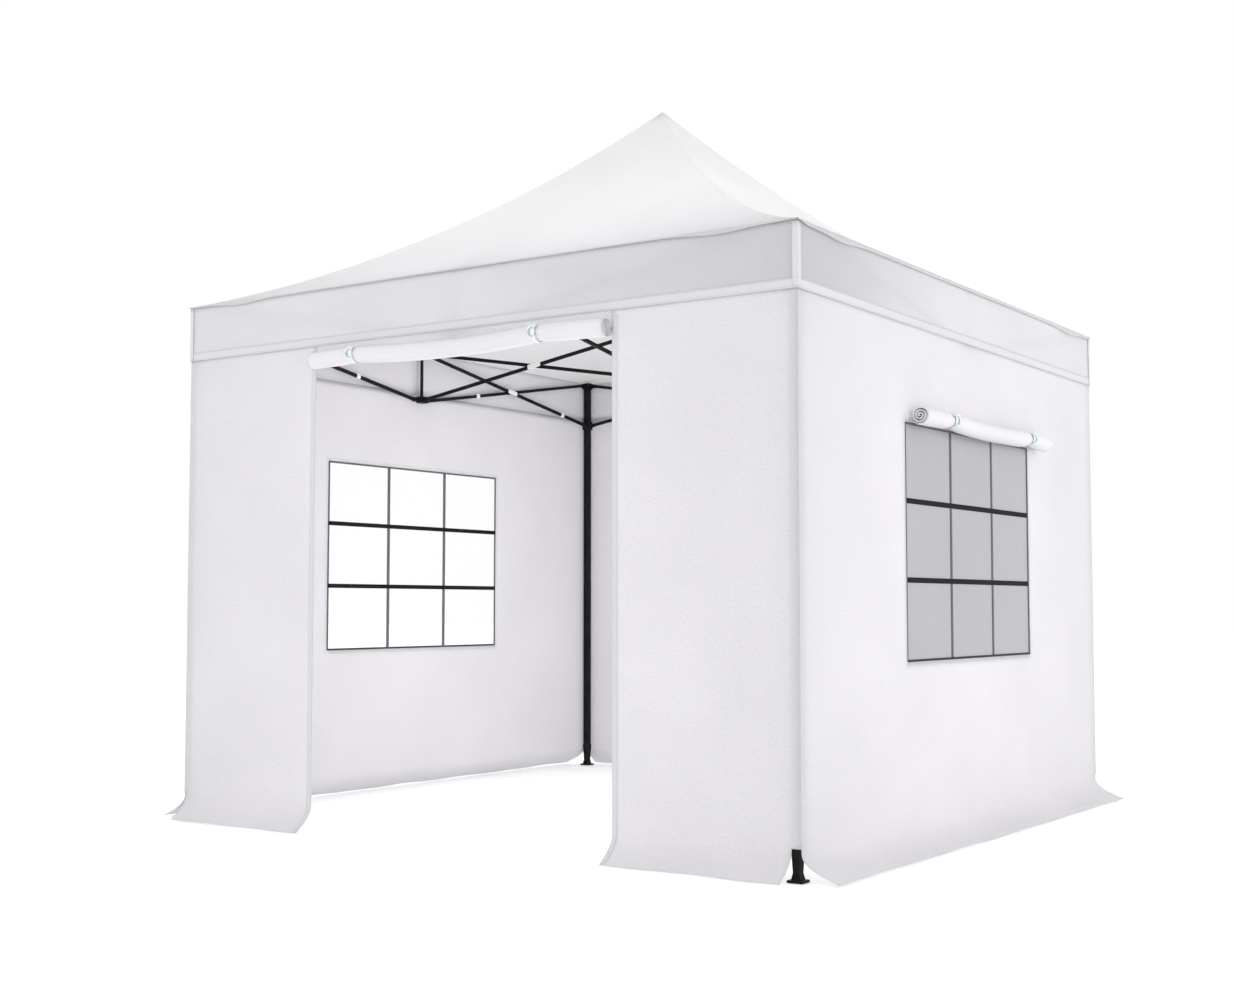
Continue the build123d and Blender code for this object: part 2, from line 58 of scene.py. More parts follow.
# ---- sizes read from the frame ----
roof_low, roof_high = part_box("roof_cover")
valance_low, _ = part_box("valance")
front_low, front_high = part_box("front_wall")
_, right_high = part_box("right_wall")
film_low, film_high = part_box("right_window")
HALF = roof_high.x                      # middle of the canopy to the valance's face
PEAK_Z = roof_high.z
EAVE_Z = roof_low.z + 0.002
VALANCE_BOTTOM = valance_low.z
WALL_FACE = HALF - 0.003
WALL_TOP = front_high.z
WALL_EDGE = front_high.x + 0.0015       # walls meet in their corners
SKIRT_REACH = {
    "front": -front_low.y - WALL_FACE,
    "right": right_high.x - WALL_FACE,
    "back": -front_low.y - WALL_FACE,
    "left": right_high.x - WALL_FACE,
}

# ---- named sizes that the boxes don't tell ----
ROOF_PULL_Z = EAVE_Z + 0.23225          # pull point of the roof's sagging line
PATCH_SHARE = 0.965                     # share of the slope, from the eave, where the peak patch starts
LIP_LENGTH = {"front": 0.005, "right": 0.016, "back": 0.010, "left": 0.010}   # cloth over the eave
LIP_BULGE = 0.013                       # how much lower the lip hangs a little in from a corner
LIP_BULGE_PLACE = 0.31
LIP_BULGE_WIDTH = 0.13
LIP_OUT = 0.008
CLOTH = 0.0015                          # thickness of the walls and the valance
WALL_BEND = 0.100                       # height at which a wall starts to flare outwards
SKIRT_TIP = 0.003
SKIRT_SLACK = 1.06                      # a skirt's length of cloth over its straight length
CORNER_CUT = {                          # widths of a wall's notches for the feet, at its start and end
    "front": (0.010, 0.036),
    "right": (0.003, 0.010),
    "back": (0.010, 0.010),
    "left": (0.010, 0.003),
}
CUT_HEIGHT = 0.112
FLARE = {"front": 1.6, "right": 2.2, "back": 1.6, "left": 1.8}   # how late a skirt sweeps outwards
DOOR_HALF = 0.740
DOOR_TOP = 1.966
HEM = 0.035                             # height of the valance's hem band
CORNER_STRIP = 0.020                    # width of a corner binding on each of its two sides
FILM_LAP = 0.018                        # how far a window film runs on behind its wall
WINDOW_HALF = film_high.y - FILM_LAP
WINDOW_BOTTOM = film_low.z + FILM_LAP
WINDOW_TOP = film_high.z - FILM_LAP
WINDOW_ROWS = (1.012, 1.312)
ROW_WIDTH = 0.020                       # window's level grid bars
COLUMN_WIDTH = 0.017                    # window's upright grid bars
BINDING = 0.007                         # window's border
ROOF_GATHER = 0.105                     # from the eave up the slope to where the roof gathers
ROOF_SPLIT = 0.50                       # from a gore's middle to the cut between its two bars' pieces
SLOPE_LENGTH = 1.85                     # of a gore's middle, from eave to peak
ROLL_CORE = 0.005                       # radius of the hollow in a roll
ROLL_FILL = 0.42                        # thickness of rolled cloth as a share of the roll's pitch
TIE_WIDTH = 0.020
TIE_OPENING = math.radians(28)          # half the gap at the top of a tie's loop
HOOK_RADIUS = 0.023                     # a tie's C hook, to the middle of its rod
HOOK_ROD = 0.0042                       # radius of that rod
LEG_PLANE = 1.470                       # middle of the canopy to a side's scissors
BAR_SPAN = 1.375                        # a scissor bar's level distance between its pivots
BAR_TIP = 0.0085                        # a bar's end beyond its pivot
BAR_OFFSET = 0.009                      # plane of a pair of bars to the middle of each
PIVOT_NEAR = 0.050                      # middle of a side, or of the canopy, to the nearest pivots
BAR_DEPTH = 0.012

UP = Vector((0, 0, 1))
SIDES = ("front", "right", "back", "left")
OUTWARD = {
    "front": Vector((0, -1, 0)),
    "right": Vector((1, 0, 0)),
    "back": Vector((0, 1, 0)),
    "left": Vector((-1, 0, 0)),
}
ALONG = {side: UP.cross(out) for side, out in OUTWARD.items()}
CORNERS = ("front_right", "back_right", "back_left", "front_left")


def place(side, along, out, up):
    """Point of a side: along it, outwards from the middle of the canopy, and up."""
    return ALONG[side] * along + OUTWARD[side] * out + UP * up


def steps(start, end, count):
    """count + 1 even values from start to end."""
    return [start + (end - start) * i / count for i in range(count + 1)]


def smooth(value):
    """Soft step from 0 to 1."""
    value = min(1.0, max(0.0, value))
    return value * value * (3 - 2 * value)


def wave(x, y, seed):
    """Soft random wave from about -1 to 1."""
    return noise.noise(Vector((x, y, seed * 7.31)))


# ---- materials ----
class Nodes:
    """Short calls to build a material's nodes."""

    def __init__(self, name):
        self.material = bpy.data.materials.new(name)
        self.material.use_nodes = True
        self.tree = self.material.node_tree
        self.shader = self.tree.nodes["Principled BSDF"]
        self.output = self.tree.nodes["Material Output"]

    def add(self, kind, **settings):
        node = self.tree.nodes.new("ShaderNode" + kind)
        for key, value in settings.items():
            setattr(node, key, value)
        return node

    def link(self, source, target):
        self.tree.links.new(source, target)

    def math(self, operation, first, second=0.0):
        """A Math node's output; first and second are sockets or numbers."""
        node = self.add("Math", operation=operation)
        for socket, value in zip(node.inputs, (first, second)):
            if isinstance(value, (int, float)):
                socket.default_value = value
            else:
                self.link(value, socket)
        return node.outputs[0]

    def noise(self, coordinates, scale, detail=3.0):
        node = self.add("TexNoise")
        node.inputs["Scale"].default_value = scale
        node.inputs["Detail"].default_value = detail
        self.link(coordinates, node.inputs["Vector"])
        return node.outputs["Fac"]

    def ramp(self, value, low, high, start=0.3, end=0.7):
        """A colour ramp from low to high between two values."""
        node = self.add("ValToRGB")
        node.color_ramp.elements[0].position = start
        node.color_ramp.elements[1].position = end
        node.color_ramp.elements[0].color = (*low, 1)
        node.color_ramp.elements[1].color = (*high, 1)
        self.link(value, node.inputs["Fac"])
        return node.outputs["Color"]

    def range(self, value, low, high):
        node = self.add("MapRange")
        self.link(value, node.inputs["Value"])
        node.inputs["To Min"].default_value = low
        node.inputs["To Max"].default_value = high
        return node.outputs["Result"]

    def multiply(self, first, second, share=1.0):
        node = self.add("Mix", data_type="RGBA", blend_type="MULTIPLY")
        node.inputs["Factor"].default_value = share
        self.link(first, node.inputs[6])
        self.link(second, node.inputs[7])
        return node.outputs[2]

    def bump(self, height, distance, strength=1.0, under=None):
        node = self.add("Bump")
        node.inputs["Distance"].default_value = distance
        node.inputs["Strength"].default_value = strength
        self.link(height, node.inputs["Height"])
        if under is not None:
            self.link(under, node.inputs["Normal"])
        return node.outputs["Normal"]

    def finish(self, color, roughness, normal=None):
        """Wire colour, roughness and normal into the shader."""
        self.link(color, self.shader.inputs["Base Color"])
        if isinstance(roughness, float):
            self.shader.inputs["Roughness"].default_value = roughness
        else:
            self.link(roughness, self.shader.inputs["Roughness"])
        if normal is not None:
            self.link(normal, self.shader.inputs["Normal"])
        return self.material


def weave(nodes, uv, thread):
    """Height of a plain weave with that thread spacing."""
    heights = []
    for direction in ("X", "Y"):
        band = nodes.add("TexWave", wave_type="BANDS", bands_direction=direction)
        band.inputs["Scale"].default_value = 2 * math.pi / (20 * thread)
        band.inputs["Distortion"].default_value = 0.6
        nodes.link(uv, band.inputs["Vector"])
        heights.append(band.outputs["Fac"])
    return nodes.math("MAXIMUM", *heights)


def fabric(name, light, dark, through=0.3, thread=0.0016, painted_shade=None, painted_shade_axis="X", rough=0.85):
    """Woven cloth: weave, faint mottling, soft creases, and light that shines through.

    light and dark are the ends of its mottling. The darkening argument, (start, end, share), is painted
    shade: along the cloth's own X or Y, from start to end in metres, its colour goes from that share to full.
    """
    nodes = Nodes(name)
    uv = nodes.add("UVMap", uv_map="cloth").outputs["UV"]
    mottle = nodes.noise(uv, 110.0, 4.0)
    color = nodes.ramp(mottle, dark, light)
    patches = nodes.ramp(nodes.noise(uv, 2.2, 2.0), (0.965, 0.965, 0.965), (1, 1, 1))
    color = nodes.multiply(color, patches)
    # Painted shade: the colour darkens towards one end of the cloth, standing in for the shade the light
    # leaves there.
    if painted_shade:
        start, end, share = painted_shade
        split = nodes.add("SeparateXYZ")
        nodes.link(uv, split.inputs[0])
        fall = nodes.add("MapRange", interpolation_type="SMOOTHSTEP")
        nodes.link(split.outputs[painted_shade_axis], fall.inputs["Value"])
        fall.inputs["From Min"].default_value = start
        fall.inputs["From Max"].default_value = end
        shade = nodes.ramp(fall.outputs["Result"], (share, share, share * 1.01), (1, 1, 1), 0.0, 1.0)
        color = nodes.multiply(color, shade)
    creases = nodes.bump(nodes.noise(uv, 9.0, 2.0), 0.004, 0.35)
    normal = nodes.bump(weave(nodes, uv, thread), 0.0003, 0.5, creases)
    nodes.shader.inputs["Sheen Weight"].default_value = 0.15
    nodes.shader.inputs["Specular IOR Level"].default_value = 0.25
    nodes.finish(color, nodes.range(mottle, rough - 0.06, rough + 0.06), normal)
    if through:
        glow = nodes.add("BsdfTranslucent")
        nodes.link(color, glow.inputs["Color"])
        nodes.link(normal, glow.inputs["Normal"])
        mix = nodes.add("MixShader")
        mix.inputs["Fac"].default_value = through
        nodes.link(nodes.shader.outputs[0], mix.inputs[1])
        nodes.link(glow.outputs[0], mix.inputs[2])
        nodes.link(mix.outputs[0], nodes.output.inputs["Surface"])
    return nodes.material


def stitched(name, light, dark, width, inset=0.005, stitch=0.006):
    """Narrow folded cloth or webbing of that width, with a row of stitches near each edge."""
    nodes = Nodes(name)
    uv = nodes.add("UVMap", uv_map="cloth").outputs["UV"]
    split = nodes.add("SeparateXYZ")
    nodes.link(uv, split.inputs[0])
    lengthwise, across = split.outputs["X"], split.outputs["Y"]
    from_middle = nodes.math("ABSOLUTE", nodes.math("SUBTRACT", across, width / 2))
    from_row = nodes.math("ABSOLUTE", nodes.math("SUBTRACT", from_middle, width / 2 - inset))
    on_row = nodes.math("LESS_THAN", from_row, 0.0007)
    phase = nodes.math("FRACT", nodes.math("DIVIDE", lengthwise, stitch))
    thread = nodes.math("MULTIPLY", on_row, nodes.math("LESS_THAN", phase, 0.65))
    groove = nodes.math("SUBTRACT", 1.0, nodes.math("MULTIPLY", on_row, 0.6))
    color = nodes.ramp(nodes.noise(uv, 140.0), dark, light)
    shade = nodes.ramp(thread, (1, 1, 1), (0.80, 0.80, 0.81), 0.0, 1.0)
    height = nodes.math("ADD", groove, thread)
    rows = nodes.bump(height, 0.0006, 0.8)
    normal = nodes.bump(weave(nodes, uv, 0.0013), 0.0003, 0.5, rows)
    nodes.shader.inputs["Specular IOR Level"].default_value = 0.25
    return nodes.finish(nodes.multiply(color, shade), 0.85, normal)


def hard(name, low, high, rough, metal=0.0, grain=900.0, shine=0.5, scuff=None):
    """Painted metal or moulded plastic: fine grain, uneven gloss and a few light scuffs."""
    nodes = Nodes(name)
    spot = nodes.add("TexCoord").outputs["Object"]
    uneven = nodes.noise(spot, 14.0, 4.0)
    color = nodes.ramp(uneven, low, high)
    if scuff:
        rubbed = nodes.math("GREATER_THAN", nodes.noise(spot, 60.0, 6.0), 0.69)
        wear = nodes.add("Mix", data_type="RGBA")
        nodes.link(nodes.math("MULTIPLY", rubbed, 0.5), wear.inputs["Factor"])
        nodes.link(color, wear.inputs[6])
        wear.inputs[7].default_value = (*scuff, 1)
        color = wear.outputs[2]
    grainy = nodes.bump(nodes.noise(spot, grain, 2.0), 0.0002, 0.4)
    nodes.shader.inputs["Metallic"].default_value = metal
    nodes.shader.inputs["Specular IOR Level"].default_value = shine
    return nodes.finish(color, nodes.range(uneven, rough - 0.08, rough + 0.1), grainy)


def film(name, color, clear, rough):
    """Window film: a soft grey plastic sheet with slow ripples. clear is the light that passes."""
    nodes = Nodes(name)
    uv = nodes.add("UVMap", uv_map="cloth").outputs["UV"]
    cloudy = nodes.noise(uv, 3.0, 2.0)
    tint = nodes.ramp(cloudy, tuple(c * 0.96 for c in color), color)
    ripple = nodes.bump(nodes.noise(uv, 7.0, 1.0), 0.01, 0.25)
    nodes.shader.inputs["Specular IOR Level"].default_value = 0.5
    nodes.finish(tint, nodes.range(cloudy, rough, rough + 0.08), ripple)
    passing = nodes.add("BsdfTransparent")
    mix = nodes.add("MixShader")
    mix.inputs["Fac"].default_value = clear
    nodes.link(nodes.shader.outputs[0], mix.inputs[1])
    nodes.link(passing.outputs[0], mix.inputs[2])
    nodes.link(mix.outputs[0], nodes.output.inputs["Surface"])
    return nodes.material


# The roof cloth is painted darker towards the eave and lighter towards the peak: painted shade.
ROOF = fabric("roof cloth with painted shade", (0.84, 0.84, 0.845), (0.79, 0.79, 0.795), through=0.38,
              painted_shade=(0.0, 1.1, 0.91), painted_shade_axis="Y")
WALL = fabric("wall cloth", (0.88, 0.87, 0.89), (0.81, 0.80, 0.82), through=0.38)
# The valance cloths are painted a little darker than the wall cloth, as painted shade under the eave; the
# front and right ones are painted darker still towards the front-right corner, also painted shade.
VALANCE_PAINTED_SHADE_CLOTHS = {
    "front": fabric("front valance cloth with painted shade", (0.83, 0.82, 0.84), (0.79, 0.78, 0.80), painted_shade=(3.0, 1.2, 0.87)),
    "right": fabric("right valance cloth with painted shade", (0.83, 0.82, 0.84), (0.79, 0.78, 0.80), painted_shade=(0.0, 1.4, 0.81)),
    "back": fabric("back valance cloth with painted shade", (0.84, 0.83, 0.85), (0.80, 0.79, 0.81)),
    "left": fabric("left valance cloth with painted shade", (0.84, 0.83, 0.85), (0.80, 0.79, 0.81)),
}
HEM_BAND = stitched("hem band", (0.665, 0.66, 0.675), (0.63, 0.625, 0.64), HEM)
STRIP = stitched("corner binding", (0.67, 0.665, 0.68), (0.64, 0.635, 0.65), 2 * CORNER_STRIP)
BLACK_BINDING = stitched("window binding", (0.05, 0.05, 0.052), (0.035, 0.035, 0.037), BINDING, 0.002)
BLACK_BAR = stitched("window bar tape", (0.006, 0.006, 0.0065), (0.003, 0.003, 0.0035), ROW_WIDTH, 0.004)
GREY_TAPE = stitched("thin window tape", (0.15, 0.15, 0.155), (0.12, 0.12, 0.125), COLUMN_WIDTH, 0.002)
ROLLED = fabric("rolled cloth", (0.88, 0.87, 0.89), (0.84, 0.83, 0.85), through=0.15)
WEBBING = stitched("tie webbing", (0.84, 0.86, 0.86), (0.80, 0.82, 0.82), TIE_WIDTH, 0.004)
ZIP = stitched("door zip tape", (0.70, 0.69, 0.71), (0.67, 0.66, 0.68), 0.024, 0.008, 0.003)
CLEAR_FILM = film("clear window film", (0.86, 0.86, 0.87), 0.93, 0.12)
# Painted shade: the right window's film is painted grey and mostly opaque, standing in for the shaded inside
# seen through it; the real film is as clear as the left one.
PAINTED_SHADE_FILM = film("grey window film with painted shade", (0.44, 0.435, 0.47), 0.22, 0.25)
WHITE_PLASTIC = hard("white moulded plastic", (0.80, 0.80, 0.80), (0.86, 0.86, 0.86), 0.5)
HOOK_PLASTIC = hard("pale green moulded plastic", (0.66, 0.80, 0.79), (0.72, 0.85, 0.84), 0.45)
NODE_MATERIALS = {
    "frame_black": hard(
        "black powder coat", (0.004, 0.004, 0.0045), (0.009, 0.009, 0.010), 0.55, shine=0.15,
        scuff=(0.03, 0.03, 0.032)
    ),
    "connector_black": hard(
        "black nylon", (0.005, 0.005, 0.0055), (0.012, 0.012, 0.013), 0.62, grain=500.0, shine=0.2
    ),
    "pole_grey": hard(
        "brushed aluminium", (0.50, 0.51, 0.53), (0.62, 0.63, 0.65), 0.38, metal=0.9, grain=1500.0
    ),
}


# ---- mesh helpers ----
def make_object(name, points, faces, material, uvs=None, thickness=0.0):
    """A smooth mesh object; uvs are one pair of metres for each point."""
    mesh = bpy.data.meshes.new(name)
    mesh.from_pydata([tuple(p) for p in points], [], faces)
    if uvs is not None:
        layer = mesh.uv_layers.new(name="cloth")
        corners = np.zeros(len(mesh.loops), dtype=np.int32)
        mesh.loops.foreach_get("vertex_index", corners)
        layer.data.foreach_set("uv", np.array(uvs, dtype=np.float32)[corners].ravel())
    mesh.materials.append(material)
    mesh.shade_smooth()
    obj = bpy.data.objects.new(name, mesh)
    bpy.context.scene.collection.objects.link(obj)
    if thickness:
        solid = obj.modifiers.new("thickness", "SOLIDIFY")
        solid.thickness = thickness
        solid.offset = -1
    return obj


def grid_faces(columns, rows, kept=None):
    """Quads of a grid with that many points a row; kept(column, row) leaves quads out."""
    return [
        (r * columns + c, r * columns + c + 1, (r + 1) * columns + c + 1, (r + 1) * columns + c)
        for r in range(rows - 1)
        for c in range(columns - 1)
        if kept is None or kept(c, r)
    ]


def cloth(name, us, vs, point, material, thickness=CLOTH, kept=None):
    """A sheet through point(u, v), with u and v in metres; kept(u, v) is False in an opening."""
    inside = None
    if kept:
        def inside(c, r):
            return kept((us[c] + us[c + 1]) / 2, (vs[r] + vs[r + 1]) / 2)
    faces = grid_faces(len(us), len(vs), inside)
    places = [(u, v) for v in vs for u in us]
    used = sorted({i for face in faces for i in face})
    renumbered = {old: new for new, old in enumerate(used)}
    faces = [tuple(renumbered[i] for i in face) for face in faces]
    uvs = [places[i] for i in used]
    return make_object(name, [point(u, v) for u, v in uvs], faces, material, uvs, thickness)


def folds(obj, side):
    """obj rides on its side's upper connector."""
    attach(obj, f"{side}_top")
    place(side, 0, WALL_FACE, 1)
    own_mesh(obj)
    return obj


def tube(name, route, radius, material, sides=10):
    """A round rod along a few points."""
    points, faces = [], []
    for i, spot in enumerate(route):
        ahead = route[min(i + 1, len(route) - 1)] - route[max(i - 1, 0)]
        turn = ahead.to_track_quat("Z", "Y")
        for k in range(sides):
            angle = 2 * math.pi * k / sides
            points.append(spot + turn @ Vector((math.cos(angle), math.sin(angle), 0)) * radius)
    for i in range(len(route) - 1):
        for k in range(sides):
            a, b = i * sides + k, i * sides + (k + 1) % sides
            faces.append((a, b, b + sides, a + sides))
    faces.append(tuple(reversed(range(sides))))
    faces.append(tuple(range(len(points) - sides, len(points))))
    return make_object(name, points, faces, material)


# ---- roof: one curved sheet, cut at its seams and where its folding pieces meet ----
def roof_height(s):
    """Height of the roof at a share s of the way from eave to peak."""
    return EAVE_Z * (1 - s) ** 2 + 2 * ROOF_PULL_Z * s * (1 - s) + PEAK_Z * s**2


def roof_point(side, sign, c, s):
    """Point of a half gore: c from its middle seam to its hip, s from eave to peak."""
    out = HALF * (1 - s)
    along = sign * c * out
    spot = place(side, along, out, roof_height(s))
    from_corner = math.hypot(HALF - abs(along), HALF - out)
    tension = math.sin(8 * math.atan2(HALF - out, HALF - abs(along) + 1e-6))
    edge = smooth(c) * smooth((1 - c) * 6) * smooth(s * 8)
    pull = 0.004 * tension * math.exp(-from_corner / 0.5) * edge
    slack = 0.006 * wave(spot.x * 1.3, spot.y * 1.3, 1.0) * smooth(s * 5) * smooth((1 - s) * 6)
    return spot + UP * (pull + slack)


def lip_bulge(along):
    """Share of the lip's extra slack at a place along a side."""
    return math.exp(-((HALF - abs(along) - LIP_BULGE_PLACE) / LIP_BULGE_WIDTH) ** 2)


def lip_length(side, along):
    """Length of the cloth that hangs over the eave; it hangs lower a little in from the corners."""
    ends = smooth((HALF - abs(along)) / 0.06)
    level = LIP_LENGTH[side] * (0.45 + 0.55 * ends)
    return level + LIP_BULGE * lip_bulge(along) + 0.002 * (1 + wave(along * 2.3, 0.4, 5.0)) * ends


def lip_point(side, sign, c, q):
    """Point of the lip, q from the eave (0) to its lower edge (1)."""
    swell = 0.004 * lip_bulge(c * HALF)
    out = HALF + (LIP_OUT + swell) * math.sin(min(1.0, 1.6 * q) * math.pi / 2)
    along = sign * c * out
    return place(side, along, out, EAVE_Z - lip_length(side, along) * q**1.3)


LIP_ROWS = steps(1.0, 0.0, 8)[:-1]
SLOPE_ROWS = steps(0.0, PATCH_SHARE, 56)
HALF_COLUMNS = steps(0.0, 1.0, 56)
PATCH_ROWS = steps(PATCH_SHARE, 0.998, 4)


def half_gore(side, sign, with_lip, slopes):
    """Points, faces and UVs of a half gore of the roof, over the given rows."""
    rows = [("lip", q) for q in LIP_ROWS] if with_lip else []
    rows += [("slope", s) for s in slopes]
    points, uvs = [], []
    for kind, value in rows:
        for c in HALF_COLUMNS:
            if kind == "lip":
                points.append(lip_point(side, sign, c, value))
                uvs.append((sign * c * HALF, -value * LIP_LENGTH[side]))
            else:
                points.append(roof_point(side, sign, c, value))
                uvs.append((sign * c * HALF * (1 - value), value * HALF * 1.2))
    faces = grid_faces(len(HALF_COLUMNS), len(rows))
    if sign < 0:
        faces = [tuple(reversed(face)) for face in faces]
    return points, faces, uvs


def shared_normals(parts):
    """Normals of the whole sheet at each part's points, so that no seam shows as a crease."""
    totals = {}
    for points, faces, _ in parts:
        for face in faces:
            a, b, c, d = (points[i] for i in face)
            normal = (c - a).cross(d - b)
            for i in face:
                key = tuple(round(x, 5) for x in points[i])
                totals[key] = totals.get(key, Vector()) + normal
    return [
        [totals[tuple(round(x, 5) for x in p)].normalized() for p in points] for points, _, _ in parts
    ]


def split_gore(part, normals):
    """The middle and the corner piece of a half gore, each with its points, faces, UVs and normals."""
    points, faces, uvs = part
    pieces = []
    for corner in (False, True):
        kept = [f for f in faces if (sum(abs(uvs[i][0]) for i in f) / 4 > ROOF_SPLIT) == corner]
        used = sorted({i for face in kept for i in face})
        order = {i: k for k, i in enumerate(used)}
        new_faces = [tuple(order[i] for i in face) for face in kept]
        pieces.append([[values[i] for i in used] for values in (points, uvs, normals)] + [new_faces])
    return pieces


def make_roof():
    """The roof on the folding bars, in 16 pieces, and the patch over the peak pole."""
    names, parts = [], []
    for side in SIDES:
        for end, sign in (("near", -1), ("far", 1)):
            names.append((side, end, sign))
            parts.append(half_gore(side, sign, True, SLOPE_ROWS))
    points, faces, uvs = [], [], []
    for side, _, sign in names:
        part_points, part_faces, part_uvs = half_gore(side, sign, False, PATCH_ROWS)
        faces += [tuple(i + len(points) for i in face) for face in part_faces]
        points += part_points
        uvs += part_uvs
    parts.append((points, faces, uvs))
    normals = shared_normals(parts)
    corner_share = 1 - ROOF_SPLIT / HALF
    half_area = 0.5 * HALF * SLOPE_LENGTH
    corner_area = half_area * corner_share**2
    kinds = (
        ("middle", "falling", (ROOF_SPLIT, SLOPE_LENGTH), half_area - corner_area),
        ("corner", "rising", (HALF - ROOF_SPLIT, SLOPE_LENGTH * corner_share), corner_area),
    )
    for (side, end, _), part, part_normals in zip(names, parts, normals):
        slope = (UP * (PEAK_Z - EAVE_Z) - OUTWARD[side] * HALF).normalized()
        gather = place(side, 0, HALF, EAVE_Z) + slope * ROOF_GATHER
        pieces = split_gore(part, part_normals)
        for (spots, marks, bends, quads), (kind, bar, size, area) in zip(pieces, kinds):
            gore = make_object(f"roof_{side}_{end}_{kind}", spots, quads, ROOF, marks)
            gore.data.normals_split_custom_set_from_vertices(bends)
            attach(gore, f"{side}_{end}_{bar}")
            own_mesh(gore)
    patch = make_object("roof_peak_patch", *parts[-1][:2], ROOF, parts[-1][2])
    patch.data.normals_split_custom_set_from_vertices(normals[-1])
    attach(patch, "peak")
    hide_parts("roof_cover")


# ---- valance ----
def valance_out(along, up):
    """Distance of the valance's face from the middle, with a slight belly between its corners."""
    share = (up - VALANCE_BOTTOM) / (EAVE_Z - VALANCE_BOTTOM)
    loose = smooth((HALF - abs(along)) / 0.3) * smooth((1 - share) * 2.0)
    return HALF + 0.0022 * wave(along * 1.7, up * 2.0, 9.0) * loose


def make_valance():
    """The four hanging borders, each with its hem band, and the bindings at the corners."""
    top = EAVE_Z - 0.004
    for side in SIDES:
        def face(u, v):
            along = u - HALF
            return place(side, along, valance_out(along, VALANCE_BOTTOM + v), VALANCE_BOTTOM + v)

        def band(u, v):
            return face(u, v) + OUTWARD[side] * 0.0012

        us = steps(0.0, 2 * HALF, 120)
        border = cloth(f"valance_{side}", us, steps(0.0, top - VALANCE_BOTTOM, 10), face,
                       VALANCE_PAINTED_SHADE_CLOTHS[side])
        hem = cloth(f"valance_hem_{side}", us, steps(-0.0015, HEM, 4), band, HEM_BAND, 0.001)
        for piece in (border, hem):
            folds(piece, side)
        if side == "front":
            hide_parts("valance")
    for k, corner in enumerate(CORNERS):
        first, second = SIDES[k], SIDES[(k + 1) % 4]
        reach = HALF + 0.0028

        def strip(u, v):
            if u <= CORNER_STRIP:
                spot = place(first, HALF - CORNER_STRIP + u, reach, 0)
            else:
                spot = place(second, -HALF + (u - CORNER_STRIP), reach, 0)
            return spot + UP * (VALANCE_BOTTOM + v)

        us = [0.0, 0.007, 0.014, CORNER_STRIP - 0.0005, CORNER_STRIP + 0.0005, 0.026, 0.033,
              2 * CORNER_STRIP]
        binding = cloth(f"corner_binding_{corner}", us, steps(0.0, EAVE_Z - 0.012 - VALANCE_BOTTOM, 8),
                        strip, STRIP, 0.001)
        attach(binding, f"{corner}_leg")


# ---- walls ----
def skirt_length(side):
    """Length of cloth from the wall's bend to its tip."""
    return math.hypot(SKIRT_REACH[side], WALL_BEND - SKIRT_TIP) * SKIRT_SLACK


def wall_surface(side, along, v, seed=0.0):
    """Point of a wall; v is the length of cloth up from its tip on the ground."""
    skirt = skirt_length(side)
    if v < skirt:
        t = 1 - v / skirt
        up = SKIRT_TIP + (WALL_BEND - SKIRT_TIP) * (1 - t)
        out = WALL_FACE + SKIRT_REACH[side] * t ** FLARE[side]
        up += 0.004 * t * (1 + wave(along * 5.0, 0.0, seed + 3.0))
        out += 0.006 * t * wave(along * 3.0, 1.0, seed + 4.0) - 0.006 * t
    else:
        up = WALL_BEND + v - skirt
        out = WALL_FACE
    calm = smooth((VALANCE_BOTTOM - up) / 0.25) * smooth((WALL_EDGE - abs(along)) / 0.2)
    ripple = 0.0035 * wave(along * 1.5, up * 0.9, seed) + 0.0015 * wave(along * 5.0, up * 0.7, seed + 1)
    return place(side, along, out + calm * ripple, up)


def with_marks(values, marks, near):
    """Even values with marks added, and without the inner values that lie near a mark."""
    inner = [x for x in values[1:-1] if all(abs(x - m) > near for m in marks)]
    return sorted([values[0], *inner, values[-1], *marks])


def wall_sheet(name, side, left, right, seed, opening=None):
    """A wall's sheet from the ground to behind the valance, with an opening if it has one."""
    skirt = skirt_length(side)
    lift = skirt - WALL_BEND
    rows = steps(0.0, skirt, 12) + steps(skirt, skirt + WALL_TOP - WALL_BEND, 60)[1:]
    count = max(24, round((right - left) / 0.025))
    columns = steps(left, right, count)

    first_cut, last_cut = CORNER_CUT[side]
    notch_start, notch_end = first_cut - WALL_EDGE, WALL_EDGE - last_cut
    notch_top = CUT_HEIGHT + lift
    half, low, high = opening or (0.0, 0.0, 0.0)
    marks = [notch_start, notch_end, *((-half, half) if opening else ())]
    columns = with_marks(columns, [m for m in marks if left < m < right], 0.003)
    rows = with_marks(rows, [notch_top, *((low + lift, high + lift) if opening else ())], 0.004)

    def point(u, v):
        return wall_surface(side, u, v, seed)

    def kept(u, v):
        in_opening = abs(u) < half and low + lift < v < high + lift
        in_notch = v < notch_top and not notch_start < u < notch_end
        return not in_opening and not in_notch

    sheet = cloth(name, columns, rows, point, WALL, CLOTH, kept)
    return folds(sheet, side)


def wall_strip(name, side, us, vs, seed, material, raise_by=0.001, thickness=0.001):
    """A tape sewn on a wall: us along it and vs in heights, which lies just proud of its face."""
    lift = skirt_length(side) - WALL_BEND
    upright = len(vs) > len(us)
    width_start = us[0] if upright else vs[0]

    def point(u, v):
        return wall_surface(side, u, v + lift, seed) + OUTWARD[side] * raise_by

    strip = cloth(name, us, vs, point, material, thickness)
    layer = strip.data.uv_layers["cloth"].data
    for corner in layer:
        u, v = corner.uv
        corner.uv = (v, u - width_start) if upright else (u, v - width_start)
    return folds(strip, side)


